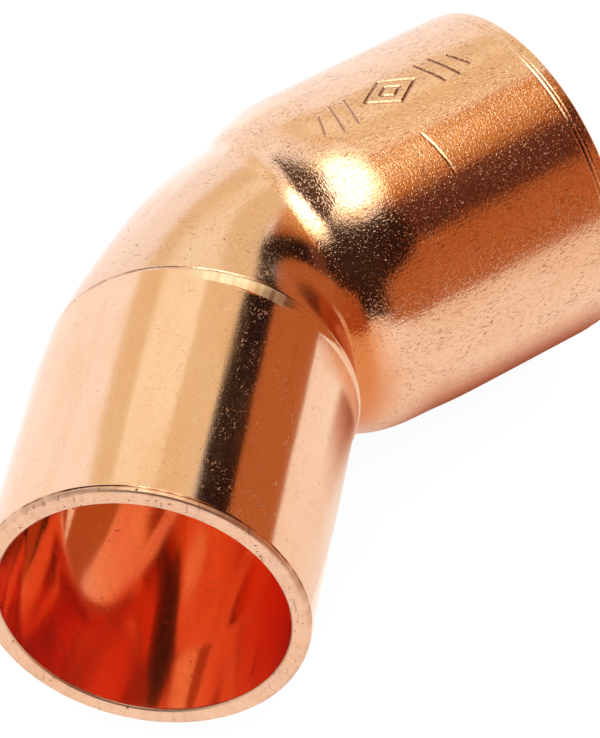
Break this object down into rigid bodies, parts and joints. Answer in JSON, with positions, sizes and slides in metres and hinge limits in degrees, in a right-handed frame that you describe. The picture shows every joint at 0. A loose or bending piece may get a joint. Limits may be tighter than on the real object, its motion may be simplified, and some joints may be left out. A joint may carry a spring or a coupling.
{
  "type": "copper pipe elbow",
  "caption": "Copper 45 degree street elbow for soldering: a swollen socket takes a 15 mm pipe and a plain 15 mm spigot enters the next fitting.",
  "frame": {"origin": "centre of the pipe stop, where the socket's parallel bore begins, on the socket's axis", "axes": "+X leaves the socket's mouth along its axis; the bend lies in the XY plane with the spigot leaving towards -X -Y at 45 degrees; +Z is normal to the bend and up when the elbow lies on its side"},
  "size_m": [0.0365, 0.0271, 0.0172],
  "materials": {
    "bright_copper": "bright drawn copper, lightly scratched",
    "grained_copper": "copper with a fine drawn grain, pits and dark tarnish inside the mouth"
  },
  "bodies": {
    "root": {"spigot": "bright_copper", "bend": "bright_copper", "socket_shoulder": "grained_copper", "socket_cup": "grained_copper"}
  },
  "joints": []
}
